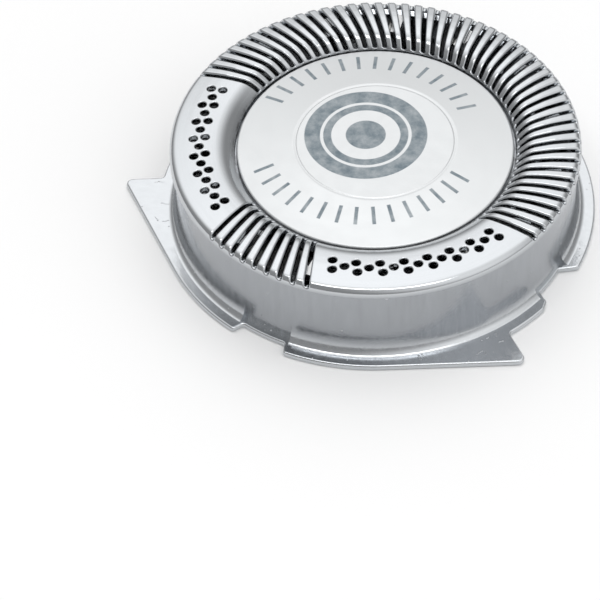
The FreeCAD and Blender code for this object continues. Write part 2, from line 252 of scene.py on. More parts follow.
def acetal(colour):
    """Acetal, injection moulded: an opaque, slightly waxy white with a fine matt skin."""
    material, tree = new_material("acetal_moulded")
    place = add_node(tree, "ShaderNodeTexCoord").outputs["Object"]
    # The mould's matt skin has grains of 0.11 mm, and the flow marks are 2 mm wide
    skin = add_node(tree, "ShaderNodeTexNoise", {"Vector": place, "Scale": 9.0 / MM, "Detail": 3.0})
    flow = add_node(tree, "ShaderNodeTexNoise", {"Vector": place, "Scale": 0.5 / MM, "Detail": 2.0})
    tone = add_node(tree, "ShaderNodeMix", {
        "Factor": flow, "A": linear(colour), "B": linear(colour, 0.9)}, data_type="RGBA")
    relief = add_node(tree, "ShaderNodeBump", {"Height": skin, "Strength": 0.15, "Distance": 0.02 * MM})
    finish_surface(tree, {"Base Color": tone, "Roughness": 0.42, "IOR": 1.48, "Normal": relief})
    return material


def disc_aluminium(colour, ink):
    """Aluminium, pressed and anodised satin white: faint streaks, and a mottled grey print of rings and ticks."""
    material, tree = new_material("aluminium_anodised_satin")
    place = add_node(tree, "ShaderNodeTexCoord").outputs["Object"]
    moved = add_node(tree, "ShaderNodeVectorMath", {0: place, 1: [c * MM for c in PRINT_MIDDLE]},
                     operation="SUBTRACT")
    flat = add_node(tree, "ShaderNodeVectorMath", {0: moved, 1: (1 / MM, 1 / MM, 0)}, operation="MULTIPLY")
    radius = add_node(tree, "ShaderNodeVectorMath", {0: flat}, operation="LENGTH").outputs["Value"]
    parts = add_node(tree, "ShaderNodeSeparateXYZ", {0: flat})
    angle = add_node(tree, "ShaderNodeMath", {0: parts.outputs["Y"], 1: parts.outputs["X"]},
                     operation="ARCTAN2")

    tick_middle, tick_length, tick_width, tick_count = PRINT_TICKS
    # 1 inside each ring, and last between the ends of the ticks
    bands = []
    for middle, width in (*PRINT_RINGS, (tick_middle, tick_length)):
        offset = add_node(tree, "ShaderNodeMath", {0: radius, 1: middle}, operation="SUBTRACT")
        distance = add_node(tree, "ShaderNodeMath", {0: offset}, operation="ABSOLUTE")
        bands.append(add_node(tree, "ShaderNodeMapRange", {
            "Value": distance, "From Min": width / 2 + PRINT_EDGE, "From Max": width / 2 - PRINT_EDGE}))

    pace = tick_count / (2 * math.pi)
    turns = add_node(tree, "ShaderNodeMath", {0: angle, 1: pace}, operation="MULTIPLY")
    share = add_node(tree, "ShaderNodeMath", {0: turns, 1: 0.5}, operation="PINGPONG")
    reach = add_node(tree, "ShaderNodeMath", {0: share, 1: radius}, operation="MULTIPLY")
    side = add_node(tree, "ShaderNodeMapRange", {
        "Value": reach, "From Min": (tick_width / 2 + PRINT_EDGE) * pace,
        "From Max": (tick_width / 2 - PRINT_EDGE) * pace})
    turned = add_node(tree, "ShaderNodeMath", {0: angle, 1: math.radians(PRINT_GAP[0])}, operation="SUBTRACT")
    away = add_node(tree, "ShaderNodeMath", {0: turned}, operation="SINE")
    apart = add_node(tree, "ShaderNodeMath", {0: away}, operation="ABSOLUTE")
    kept = add_node(tree, "ShaderNodeMath", {0: apart, 1: math.sin(math.radians(PRINT_GAP[1]))},
                    operation="GREATER_THAN")
    row = add_node(tree, "ShaderNodeMath", {0: side, 1: kept}, operation="MULTIPLY")
    printed = add_node(tree, "ShaderNodeMath", {0: row, 1: bands.pop()}, operation="MULTIPLY")
    for band in bands:
        printed = add_node(tree, "ShaderNodeMath", {0: printed, 1: band}, operation="MAXIMUM")

    # The print is blotched over about 0.9 mm, and the streaks that run round the metal are about 1 by 2.5 mm
    cloud = add_node(tree, "ShaderNodeTexNoise", {"Vector": flat, "Scale": 1.1, "Detail": 5.0, "Roughness": 0.65})
    mottle = add_node(tree, "ShaderNodeMapRange", {
        "Value": cloud, "From Min": 0.35, "From Max": 0.7, "To Min": 1.0, "To Max": 0.55})
    laid = add_node(tree, "ShaderNodeMath", {0: printed, 1: mottle}, operation="MULTIPLY")
    streak = grain_noise(tree, 2.5, 1.0, 1.0, 4.0)
    bare = add_node(tree, "ShaderNodeMix", {
        "Factor": streak, "A": linear(colour, 0.9), "B": linear(colour)}, data_type="RGBA")
    tone = add_node(tree, "ShaderNodeMix", {"Factor": laid, "A": bare, "B": linear(ink)}, data_type="RGBA")
    satin = add_node(tree, "ShaderNodeMapRange", {
        "Value": streak, "From Min": 0.3, "From Max": 0.7, "To Min": 0.4, "To Max": 0.52})
    metal = add_node(tree, "ShaderNodeMapRange", {"Value": laid, "To Min": 1.0, "To Max": 0.2})
    relief = add_node(tree, "ShaderNodeBump", {"Height": streak, "Strength": 0.15, "Distance": 0.02 * MM})
    finish_surface(tree, {"Base Color": tone, "Metallic": metal, "Roughness": satin, "Normal": relief})
    return material


# The angle in degrees from which an edge of a CAD node stays sharp
EDGE_ANGLE = 30.0


def dress(node, material):
    """Gives a CAD node its material, and shades it smooth but for its edges."""
    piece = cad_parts[node]
    for holder in piece.material_slots:
        holder.material = material
    if not piece.material_slots:
        piece.data.materials.append(material)
    piece.data.shade_smooth()
    piece.data.set_sharp_from_angle(angle=math.radians(EDGE_ANGLE))


# Shapes


def rounded_line(corners, closed=False):
    """Points along straight runs whose corners are rounded; a corner is (x, y, radius)."""
    made = []
    count = len(corners)
    for index, (x, y, radius) in enumerate(corners):
        point = np.array((x, y))
        end = not closed and index in (0, count - 1)
        if end or radius == 0:
            made.append(point)
            continue
        back = np.array(corners[index - 1][:2]) - point
        ahead = np.array(corners[(index + 1) % count][:2]) - point
        back, ahead = back / np.linalg.norm(back), ahead / np.linalg.norm(ahead)
        half = math.acos(max(-1.0, min(1.0, float(back @ ahead)))) / 2
        reach = radius / math.tan(half)
        bisector = (back + ahead) / np.linalg.norm(back + ahead)
        centre = point + bisector * radius / math.sin(half)
        first = point + back * reach - centre
        last = point + ahead * reach - centre
        turn = math.pi - 2 * half
        steps = max(2, math.ceil(turn / math.radians(9)))
        for step in range(steps + 1):
            share = step / steps
            made.append(centre + (first * math.sin((1 - share) * turn) + last * math.sin(share * turn))
                        / math.sin(turn))
    return np.array(made)


def divided(points, longest):
    """The same line with no run longer than a given length."""
    made = [points[0]]
    for start, end in zip(points[:-1], points[1:]):
        parts = max(1, math.ceil(np.linalg.norm(end - start) / longest))
        made += [start + (end - start) * k / parts for k in range(1, parts + 1)]
    return np.array(made)


def left_normals(points, closed=False):
    """Unit normals to the left of a line's direction, at each of its points."""
    if closed:
        along = np.roll(points, -1, axis=0) - np.roll(points, 1, axis=0)
    else:
        along = np.gradient(points, axis=0)
    along = along / np.linalg.norm(along, axis=1, keepdims=True)
    return np.column_stack((-along[:, 1], along[:, 0]))


def around(angle, radial, height):
    """A vector from its radial and upward parts at a plan angle in degrees from -Y towards +X."""
    turn = math.radians(angle)
    return np.array((radial * math.sin(turn), -radial * math.cos(turn), height))


class Shell:
    """Faces with a normal at each corner, whose points are joined wherever they meet."""

    def __init__(self):
        self.points = []
        self.faces = []
        self.normals = []
        self.found = {}

    def point(self, place):
        """The index of a point in millimetres."""
        key = tuple(round(float(c), 5) for c in place)
        if key not in self.found:
            self.found[key] = len(self.points)
            self.points.append([c * MM for c in place])
        return self.found[key]

    def face(self, places, normals):
        """Adds a face, unless its points fall together."""
        indices = [self.point(place) for place in places]
        kept = [k for k in range(len(indices)) if indices[k] != indices[k - 1]]
        if len(kept) > 2 and len({indices[k] for k in kept}) == len(kept):
            self.faces.append([indices[k] for k in kept])
            self.normals += [tuple(normals[k]) for k in kept]

    def flat(self, places):
        """Adds a face with its own normal."""
        a, b, c = (np.array(p) for p in places[:3])
        normal = np.cross(b - a, c - a)
        size = np.linalg.norm(normal)
        normal = normal / size if size > 0 else np.array((0.0, 0.0, 1.0))
        self.face(places, [normal] * len(places))

    def turn_rows(self, rows, columns):
        """Turns a section round the axis, with the outside on its left.

        Each row is a radius, a height and the two parts of the normal there.
        """
        ring = list(zip(columns, list(columns[1:]) + [columns[0] + 360]))
        for (r0, z0, n0, m0), (r1, z1, n1, m1) in zip(rows[:-1], rows[1:]):
            for a, b in ring:
                self.face([around(a, r0, z0), around(a, r1, z1), around(b, r1, z1), around(b, r0, z0)],
                          [around(a, n0, m0), around(a, n1, m1), around(b, n1, m1), around(b, n0, m0)])

    def make(self, name, material):
        """The mesh object."""
        mesh = bpy.data.meshes.new(name)
        mesh.from_pydata(self.points, [], self.faces)
        mesh.shade_smooth()
        mesh.normals_split_custom_set(self.normals)
        mesh.materials.append(material)
        made = bpy.data.objects.new(name, mesh)
        bpy.context.scene.collection.objects.link(made)
        return made


def section_rows(corners, longest):
    """Rows for turn_rows along a rounded section, with no step longer than a given length."""
    points = divided(rounded_line(corners), longest)
    normals = left_normals(points)
    return [(p[0], p[1], n[0], n[1]) for p, n in zip(points, normals)]


# Sizes of the guard and the disc in millimetres and degrees, as the CAD part has them, but for a sheet 0.04
# thinner that clears the blades below the rounded land, and slots 0.03 narrower between the rounded bars
SHEET = 0.29
WALL = 11.1
WALL_INNER = 10.75
CROWN = 5.42
RIM = 11.3
SEAT = 7.75
SEAT_HEIGHT = 4.40
FLOOR_LOW = 4.10
BORE = 1.0
SLOT_WIDTH = 0.23
SLOT_SLANT = 13.8
SLOT_MIDDLE = 9.70
SLOT_PITCH = 4.0
HOLE_RADIUS = 0.23
HOLE_ROW = 9.65
FLANGE_TOP = 0.35
FLANGE_RADIUS = 12.2
FRONT_RIM = 11.55
WING_TIP = 14.4
RIM_STEP = (4.74, 4.60)
FOLD_HEIGHT = 4.62

# The slots' two groups as the middle's plan angle and the number, and the heights where a slot ends on the slope
# and on the rim
SLOT_GROUPS = ((-4.8, 9), (175.2, 49))
SLOT_ENDS = (4.79, 4.97)

# Hair holes: the pairs on each side, the first pair's distance from the slots, the pitch of the pairs, half a
# pair's spread along the radius and round the axis, and the sides that a hole is drawn with
HOLE_PAIRS = 8
HOLE_START = 7.2
HOLE_PITCH = 7.77
HOLE_SPREAD = (0.325, 0.4)
HOLE_SIDES = 20

# The plan angle where the unrolled ring is cut, clear of slots and holes, and the flare's three limits on either
# side of the front
SEAM = 15.3
FLARE = (7.7, 82.2, 96.6)

# The flare's reach and rise, the rounding of the flange's edge, and the bevel round the wall's mouth
FLARE_REACH = (0.55, 1.0)
FLANGE_EDGE = 0.12
MOUTH_BREAK = 0.3

# Heights where the shaving face's polish begins and is full, and the flange's below the wall; the radii between
# which the painted shade in the crevice round the disc lies
FACE_HEIGHTS = (4.7, 5.0)
FOOT_HEIGHTS = (1.0, 0.5)
CREVICE_SHADE_RADII = (7.76, 7.9)

# The print on the disc: its middle, its rings as middle radius and width, its ticks as middle radius, length,
# width and number in a full turn, the angle and half width of the two gaps in their row, and half the soft edge
PRINT_MIDDLE = (-0.68, 0.13, 0.0)
PRINT_RINGS = ((0.0, 2.2), (2.12, 0.44), (2.95, 0.86))
PRINT_TICKS = (6.0, 1.15, 0.2, 40)
PRINT_GAP = (27.0, 22.5)
PRINT_EDGE = 0.02

# The disc: heights of its middle and its edge, its sheet, the gap round it, and its turned line's radius and
# depth
DISC_MIDDLE = 5.17
DISC_EDGE = 4.74
DISC_SHEET = 0.30
DISC_GAP = 0.12
DISC_LINE = (4.42, 0.03)

# Scratches on the flange's wings, each from one plan point to another
SCUFFS = (
    ((7.94, -8.54), (8.24, -8.68)), ((8.02, -8.31), (8.20, -8.42)), ((10.60, -6.78), (10.72, -6.42)),
    ((10.86, -6.49), (10.98, -6.58)), ((10.48, -5.59), (10.52, -5.42)), ((10.68, -5.00), (10.85, -5.17)),
    ((11.17, -5.43), (11.32, -5.26)),
    ((-11.45, -5.16), (-11.06, -4.81)), ((-10.24, -6.34), (-9.83, -6.20)), ((-9.37, -7.44), (-9.15, -7.25)),
    ((-9.95, -7.43), (-9.63, -7.56)),
)

# Outer skin of the ring, from the seat's wall up the slope and over the land to the rim
RING_SECTION = [
    (SEAT, 4.60, 0), (SEAT, 4.72, 0.03), (8.42, 5.34, 1.2), (9.75, CROWN, 6.0), (RIM, 5.24, 0.42), (RIM, 4.78, 0),
]

# Roundings: the share of a bar's half width, the slots' ends and the holes' rims, and the turns of their steps
BAR_SHARE = 0.55
END_ROUNDING = 0.12
HOLE_ROUNDING = 0.08
ROUNDING_TURNS = (0.0, 22.5, 45.0, 67.5, 90.0)


def hole_places():
    """Radius and plan angle of every hair hole: pairs with single holes between them."""
    middle, count = SLOT_GROUPS[0]
    start = SLOT_PITCH * (count - 1) / 2 + HOLE_START
    for side in (1, -1):
        for pair in range(HOLE_PAIRS):
            angle = middle + side * (start + HOLE_PITCH * pair)
            for end in (1, -1):
                yield HOLE_ROW + end * HOLE_SPREAD[0], angle + end * HOLE_SPREAD[1]
            if pair < HOLE_PAIRS - 1:
                yield HOLE_ROW, angle + side * HOLE_PITCH / 2


def slot_angles():
    """Plan angle of the middle of every hair slot."""
    for middle, count in SLOT_GROUPS:
        for index in range(count):
            yield middle + SLOT_PITCH * (index - (count - 1) / 2)


class RingSkin:
    """The ring's outer skin unrolled, with u round the axis at the slots' middle radius and v up the section."""

    def __init__(self):
        line = divided(rounded_line(RING_SECTION), 0.16)
        self.line = line
        self.normal = left_normals(line)
        self.v = np.concatenate(([0.0], np.cumsum(np.linalg.norm(np.diff(line, axis=0), axis=1))))

    def section(self, v):
        """Radius, height and the normal's two parts at a place up the section."""
        r, z = (float(np.interp(v, self.v, self.line[:, k])) for k in (0, 1))
        n, m = (float(np.interp(v, self.v, self.normal[:, k])) for k in (0, 1))
        size = math.hypot(n, m)
        return r, z, n / size, m / size

    def v_at_radius(self, radius):
        """How far up the section a radius on the land lies."""
        return float(np.interp(radius, self.line[:, 0], self.v))

    def v_at_height(self, height, outer):
        """Where the section passes a height, on the slope or on the rim."""
        top = int(np.argmax(self.line[:, 1]))
        if outer:
            return float(np.interp(-height, -self.line[top:, 1], self.v[top:]))
        return float(np.interp(height, self.line[:top + 1, 1], self.v[:top + 1]))


def u_of(angle):
    """Place round the unrolled skin of a plan angle in degrees."""
    return math.radians((angle - SEAM) % 360) * SLOT_MIDDLE


def angle_of(u):
    """Plan angle in degrees of a place round the unrolled skin."""
    return math.degrees(u / SLOT_MIDDLE) + SEAM


def slot_side(angle, radius, offset):
    """Plan angle at a radius of a line beside a slot's middle line."""
    slant = math.radians(SLOT_SLANT)
    reach = SLOT_MIDDLE * math.sin(slant) - offset
    return angle + SLOT_SLANT - math.degrees(math.asin(reach / radius))


def rounding_steps():
    """Offset and depth in radii, and the shares of the surface's and the side's normal, round an edge."""
    for turn in ROUNDING_TURNS:
        sine, cosine = math.sin(math.radians(turn)), math.cos(math.radians(turn))
        yield 1 - sine, 1 - cosine, cosine, sine


def bar_rounding(radius, from_end):
    """Radius of a bar's rounded side, smaller towards the slot's ends."""
    slant = math.asin(SLOT_MIDDLE * math.sin(math.radians(SLOT_SLANT)) / radius)
    bar = math.radians(SLOT_PITCH) * radius * math.cos(slant) - SLOT_WIDTH
    return min(BAR_SHARE * bar / 2, END_ROUNDING + 0.6 * from_end)


def slot_loop(skin, angle, widen, deepen, stations, ends):
    """One loop round a slot: (u, v, depth, direction into the slot) at each point."""
    half = SLOT_WIDTH / 2
    low, high = ends[0] + half, ends[1] - half
    tip = half + widen * END_ROUNDING
    nearby = 0.01
    turns = [math.radians(t) for t in (-72, -48, -24, 0, 24, 48, 72)]
    radii = [bar_rounding(skin.section(v)[0], min(v - low, high - v)) for v in stations]
    path = [(v, half + widen * radius, radius) for v, radius in zip(stations, radii)]
    path += [(high + tip * math.cos(t), -tip * math.sin(t), END_ROUNDING) for t in turns]
    path += [(v, -half - widen * radius, radius) for v, radius in reversed(list(zip(stations, radii)))]
    path += [(low - tip * math.cos(t), tip * math.sin(t), END_ROUNDING) for t in turns]
    made = []
    for v, side, radius in path:
        r, _, n, m = skin.section(v)
        place = slot_side(angle, r, side)
        ahead, behind = (around(slot_side(angle, near_r, side), near_r, near_z)
                         for near_r, near_z, _, _ in (skin.section(v + nearby), skin.section(v - nearby)))
        along = (ahead - behind) / np.linalg.norm(ahead - behind)
        across = np.cross(around(place, n, m), along)
        # The slot's wall faces straight across beside it and turns along it round its ends
        share = max(-1.0, min(1.0, side / tip))
        rest = math.sqrt(1 - share * share) if v > high or v < low else 0.0
        share = math.copysign(1, side) if rest == 0 else share
        outward = share * across + (rest if v > high else -rest) * along
        made.append((u_of(angle) + math.radians(place - angle) * SLOT_MIDDLE, v, deepen * radius, -outward))
    return made


def hole_loop(skin, radius, angle, reach, depth):
    """One loop round a hole: (u, v, depth, direction into the hole) at each point."""
    centre = around(angle, radius, 0)
    made = []
    for side in range(HOLE_SIDES):
        turn = angle - 360 * side / HOLE_SIDES
        out = around(turn, 1.0, 0)
        place = centre + out * reach
        r = math.hypot(place[0], place[1])
        shift = math.degrees(math.atan2(place[0], -place[1])) - angle
        shift = (shift + 180) % 360 - 180
        made.append((u_of(angle) + math.radians(shift) * SLOT_MIDDLE, skin.v_at_radius(r), depth, -out))
    return made


class SkinNet:
    """Points of the unrolled ring with closed loops among them, joined into triangles."""

    def __init__(self):
        self.places = []
        self.looks = []
        self.edges = []
        self.openings = []

    def spot(self, u, v, depth=0.0, cosine=1.0, sine=0.0, side=(0.0, 0.0, 0.0)):
        """Adds a point with its depth and the shares of the surface's normal and of another direction."""
        self.places.append((u, v))
        self.looks.append((depth, cosine, sine, np.array(side)))

    def loop(self, points, cosine, sine):
        """Adds a closed loop and returns its points' numbers."""
        first = len(self.places)
        for u, v, depth, side in points:
            self.spot(u, v, depth, cosine, sine, side)
        ring = list(range(first, len(self.places)))
        self.edges.extend(zip(ring, ring[1:] + ring[:1]))
        return ring

    def triangles(self):
        """Corner numbers of the triangles outside the openings."""
        places = [Vector(place) for place in self.places]
        _, _, found, sources, _, kinds = delaunay_2d_cdt(places, self.edges, self.openings, 0, 1e-6)
        return [[sources[k][0] for k in corners] for corners, kind in zip(found, kinds) if not kind]

    def corner(self, skin, number, sunk=0.0):
        """A point's place and normal on the skin, sunk below it by a thickness."""
        u, v = self.places[number]
        depth, cosine, sine, side = self.looks[number]
        r, z, n, m = skin.section(v)
        normal = around(angle_of(u), n, m)
        return around(angle_of(u), r, z) - normal * (depth + sunk), normal * cosine + side * sine


def ring_mesh(shell, skin, columns):
    """Adds the slotted and perforated ring: its outer skin, its inner skin and the walls of the openings."""
    outer, inner = SkinNet(), SkinNet()
    start, end = skin.v_at_height(SLOT_ENDS[0], False), skin.v_at_height(SLOT_ENDS[1], True)
    half = SLOT_WIDTH / 2
    low, high = start + half, end - half
    stations = [low] + [v for v in skin.v if low + 0.03 < v < high - 0.03] + [high]
    holes = list(hole_places())
    cuts = [[(slot_loop(skin, angle, widen, deepen, stations, (start, end)), cosine, sine)
             for widen, deepen, cosine, sine in rounding_steps()] for angle in slot_angles()]
    cuts += [[(hole_loop(skin, radius, angle, HOLE_RADIUS + HOLE_ROUNDING * widen, HOLE_ROUNDING * deepen),
               cosine, sine) for widen, deepen, cosine, sine in rounding_steps()] for radius, angle in holes]
    for loops in cuts:
        above = [outer.loop(*loop) for loop in loops][-1]
        below = inner.loop([(u, v, 0.0, side) for u, v, _, side in loops[-1][0]], 1.0, 0.0)
        outer.openings.append(above)
        inner.openings.append(below)
        for k in range(len(above)):
            a, b = above[k - 1], above[k]
            side_a, side_b = outer.looks[a][3], outer.looks[b][3]
            shell.face([outer.corner(skin, b)[0], outer.corner(skin, a)[0],
                        inner.corner(skin, below[k - 1], SHEET)[0], inner.corner(skin, below[k], SHEET)[0]],
                       [side_b, side_a, side_a, side_b])

    # Points of an even grid fill the skin, apart from the slots' groups and a clearance round each opening
    spans = [(middle - SLOT_PITCH * count / 2, middle + SLOT_PITCH * count / 2) for middle, count in SLOT_GROUPS]
    end_clear = END_ROUNDING + 0.03
    hole_clear = HOLE_RADIUS + HOLE_ROUNDING + 0.06
    around_all = 2 * math.pi * SLOT_MIDDLE
    edge_us = [0.0] + sorted(u_of(a) for a in columns if 0 < u_of(a) < around_all) + [around_all]
    spots = [(u_of(angle), skin.v_at_radius(radius)) for radius, angle in holes]
    for row, v in enumerate(skin.v):
        r = skin.section(v)[0]
        shrink = r / SLOT_MIDDLE
        for column, u in enumerate(edge_us):
            border = row in (0, len(skin.v) - 1) or u in (0.0, around_all)
            angle = angle_of(u)
            free = border or not start - end_clear < v < end + end_clear
            if not free:
                free = all(not low_edge(span, r, -1) < (angle - span[0] + 10) % 360 + span[0] - 10
                           < low_edge(span, r, 1) for span in spans)
                free = free and all(math.hypot((spot_u - u) * shrink, spot_v - v) > hole_clear
                                    for spot_u, spot_v in spots)
            if free:
                outer.spot(u, v)
                if border or (row % 3 == 0 and column % 3 == 0):
                    inner.spot(u, v)
    for corners in outer.triangles():
        made = [outer.corner(skin, number) for number in reversed(corners)]
        shell.face([place for place, _ in made], [normal for _, normal in made])
    for corners in inner.triangles():
        made = [inner.corner(skin, number, SHEET) for number in corners]
        shell.face([place for place, _ in made], [-normal for _, normal in made])


def low_edge(span, radius, side):
    """Plan angle at a radius of the line that bounds a group of slots on one side."""
    return slot_side(span[0] if side < 0 else span[1], radius, 0.0)


def guard_columns():
    """Plan angles of the columns that the turned faces share, with a narrow step at each end of the flare."""
    steps = [*FLARE] + [360 - limit for limit in FLARE]
    made = [float(a) for a in range(360) if all(abs(a - step) > 0.4 for step in steps)]
    made += [step + side * 0.04 for step in steps for side in (-1, 1)]
    return sorted(made + [SEAM])


def flared(angle):
    """Whether the foot of the wall flares out at a plan angle."""
    mirrored = min(angle % 360, 360 - angle % 360)
    return FLARE[0] < mirrored < FLARE[1] or mirrored > FLARE[2]


def flange_outline():
    """The flange's outline in plan, counter-clockwise from the front gap."""
    # Each corner is a radius, a plan angle and a rounding: first the front gap's rim, then the flange
    half = [(FRONT_RIM, a, 0) for a in (0.0, 2.0, 4.0)] + [(FRONT_RIM, 6.6, 0.2), (FLANGE_RADIUS, 7.6, 0.2)]
    half += [(FLANGE_RADIUS, a, 0) for a in np.arange(10.0, 34.0, 2.4)] + [(FLANGE_RADIUS, 34.0, 0)]
    # The wing's tip, the notch behind it and the tab with its cut corner
    half += [(WING_TIP, 66.1, 0.35), (FLANGE_RADIUS, 67.9, 0.25)]
    half += [(FLANGE_RADIUS, a, 0) for a in (71.0, 74.0, 77.0)]
    half += [(FLANGE_RADIUS, 80.0, 0.2), (FLANGE_RADIUS - 0.25, 82.6, 0.15)]
    # The side gap's rim and the back of the flange
    half += [(RIM, 84.0, 0.1)] + [(RIM, a, 0) for a in (86.0, 88.0, 90.0, 92.0)] + [(RIM, 94.2, 0.1)]
    half += [(FLANGE_RADIUS, 97.2, 0.3)] + [(FLANGE_RADIUS, a, 0) for a in np.arange(100.0, 180.0, 2.5)]
    other = [(r, 360 - a, rounding) for r, a, rounding in reversed(half[1:])]
    corners = []
    for r, a, rounding in half + [(FLANGE_RADIUS, 180.0, 0)] + other:
        x, y, _ = around(a, r, 0)
        corners.append((x, y, rounding))
    return divided(rounded_line(corners, closed=True), 0.6)


def ring_between(shell, outside, inside, height, upward):
    """A flat face between two outlines in plan at a height."""
    places = [Vector(p[:2]) for p in outside] + [Vector(p[:2]) for p in inside]
    first = list(range(len(outside)))
    second = list(range(len(outside), len(places)))
    found, _, triangles, _, _, kinds = delaunay_2d_cdt(places, [], [first, second], 0, 1e-6)
    normal = np.array((0.0, 0.0, 1.0 if upward else -1.0))
    for triangle, kind in zip(triangles, kinds):
        if list(kind) == [0]:
            order = triangle if upward else reversed(triangle)
            shell.face([(found[k][0], found[k][1], height) for k in order], [normal] * 3)


def flange_mesh(shell, columns):
    """Adds the flared foot of the wall and the flange with its rounded edge."""
    reach, rise = FLARE_REACH
    rows = []
    for turn in np.radians(np.linspace(0, 90, 11)):
        out, up = math.cos(turn) / reach, math.sin(turn) / rise
        size = math.hypot(out, up)
        rows.append((reach * (1 - math.cos(turn)), FLANGE_TOP + rise * (1 - math.sin(turn)),
                     out / size, up / size))
    ring = list(zip(columns, columns[1:] + [columns[0] + 360]))
    for (w0, z0, n0, m0), (w1, z1, n1, m1) in zip(rows[:-1], rows[1:]):
        for a, b in ring:
            at_a, at_b = flared(a), flared(b)
            corners = [around(a, WALL + w0 * at_a, z0), around(a, WALL + w1 * at_a, z1),
                       around(b, WALL + w1 * at_b, z1), around(b, WALL + w0 * at_b, z0)]
            if at_a != at_b:
                shell.flat(corners)
            elif at_a:
                shell.face(corners, [around(a, n0, m0), around(a, n1, m1),
                                     around(b, n1, m1), around(b, n0, m0)])
            else:
                shell.face(corners, [around(a, 1, 0), around(a, 1, 0), around(b, 1, 0), around(b, 1, 0)])
    foot = [around(a, WALL + rows[-1][0] * flared(a), 0) for a in columns]
    mouth = [around(a, WALL_INNER + MOUTH_BREAK, 0) for a in columns]
    outline = flange_outline()
    out = -left_normals(outline, closed=True)
    band = []
    for turn in np.radians((0, 30, 60, 90)):
        sine, cosine = math.sin(turn), math.cos(turn)
        band.append((FLANGE_EDGE * (sine - 1), FLANGE_EDGE * (1 - cosine), sine, -cosine))
    band += [(offset, FLANGE_TOP - height, n, -m) for offset, height, n, m in reversed(band)]
    count = len(outline)
    for (o0, z0, n0, m0), (o1, z1, n1, m1) in zip(band[:-1], band[1:]):
        for k in range(count):
            j = (k + 1) % count
            places = []
            normals = []
            for index, offset, height, n, m in ((k, o0, z0, n0, m0), (j, o0, z0, n0, m0),
                                                (j, o1, z1, n1, m1), (k, o1, z1, n1, m1)):
                x, y = outline[index] + out[index] * offset
                places.append((x, y, height))
                normals.append((out[index][0] * n, out[index][1] * n, m))
            shell.face(places, normals)
    inset = outline - out * FLANGE_EDGE
    ring_between(shell, inset, foot, FLANGE_TOP, True)
    ring_between(shell, inset, mouth, 0.0, False)


def guard_mesh(material):
    """The drawn, slotted and perforated cap with its flange, as one closed shell."""
    shell = Shell()
    skin = RingSkin()
    columns = guard_columns()
    ring_mesh(shell, skin, columns)
    low, high = skin.line[0], skin.line[-1]
    for corners in (
        # The disc's seat from above, with the pin's bore
        [(BORE, FLOOR_LOW, 0), (BORE, SEAT_HEIGHT, 0.02), (SEAT, SEAT_HEIGHT, 0.03), (*low, 0)],
        # The wall from outside, below the rim's small step
        [(*high, 0), (RIM, RIM_STEP[0], 0.05), (WALL, RIM_STEP[1], 0.12), (WALL, FLANGE_TOP + FLARE_REACH[1], 0)],
        # The wall from inside, from its bevelled mouth up to the fold behind the rim
        [(WALL_INNER + MOUTH_BREAK, 0, 0), (WALL_INNER, MOUTH_BREAK, 0.2), (WALL_INNER, FOLD_HEIGHT, 0.05),
         (high[0] - SHEET, high[1], 0)],
        # The disc's seat from below
        [(low[0] + SHEET, low[1], 0), (low[0] + SHEET, FLOOR_LOW, 0.05), (BORE, FLOOR_LOW, 0)],
    ):
        shell.turn_rows(section_rows(corners, 1.2), columns)
    flange_mesh(shell, columns)
    made = shell.make("guard_cap_drawn", material)
    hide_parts("guard_cap")
    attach(made, "guard")


def disc_mesh(material):
    """The pressed cover disc, with a fine turned line round its middle."""
    shell = Shell()
    radius = SEAT - DISC_GAP
    line, depth = DISC_LINE
    corners = [
        (0.0, DISC_MIDDLE, 0), (line - 0.12, DISC_MIDDLE, 0.1), (line - 0.06, DISC_MIDDLE - depth, 0.02),
        (line, DISC_MIDDLE - depth, 0.02), (line + 0.08, DISC_MIDDLE - 0.01, 0.4), (radius, DISC_EDGE, 0.14),
        (radius, SEAT_HEIGHT, 0.03), (radius - DISC_SHEET, SEAT_HEIGHT, 0.05),
        (line - DISC_SHEET, DISC_MIDDLE - DISC_SHEET, 0.5), (0.0, DISC_MIDDLE - DISC_SHEET, 0),
    ]
    shell.turn_rows(section_rows(corners, 0.8), [float(a) * 1.5 for a in range(240)])
    made = shell.make("cover_disc_pressed", material)
    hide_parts("cover_disc")
    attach(made, "guard")


# Stage


# The strip lamp overhead: plan angle from -Y towards +X and height in degrees, distance, width and depth in
# metres, and how many times brighter than white it looks
TOP_STRIP = (25.0, 76.0, 0.50, 0.40, 0.10, 3.8)

# The air's level at the horizon and overhead. The wide soft lights in it, one behind and one at the right: plan
# angle, height and how many times brighter than white each looks. The cosines at a soft light's rim and core.
AIR = (0.38, 0.36)
SOFT_LIGHTS = ((219.0, 60.0, 1.25), (85.0, 42.0, 0.85))
SOFT_RIM = (0.5, 0.996)

# Half the floor's side and its gap below the part, in metres
FLOOR_REACH = 0.8
FLOOR_GAP = 0.01 * MM

# The side of the photo's frame and where the axis passes the flange's top in it, in pixels, and the sensor's
# width in millimetres
FRAME_SIDE = 600
AXIS_PIXEL = (376.2, 201.6)
SENSOR = 36


def pointing(turn, height):
    """The direction at a plan angle from -Y towards +X and an angle above the horizon, both in radians."""
    return Vector((math.sin(turn) * math.cos(height), -math.cos(turn) * math.cos(height), math.sin(height)))


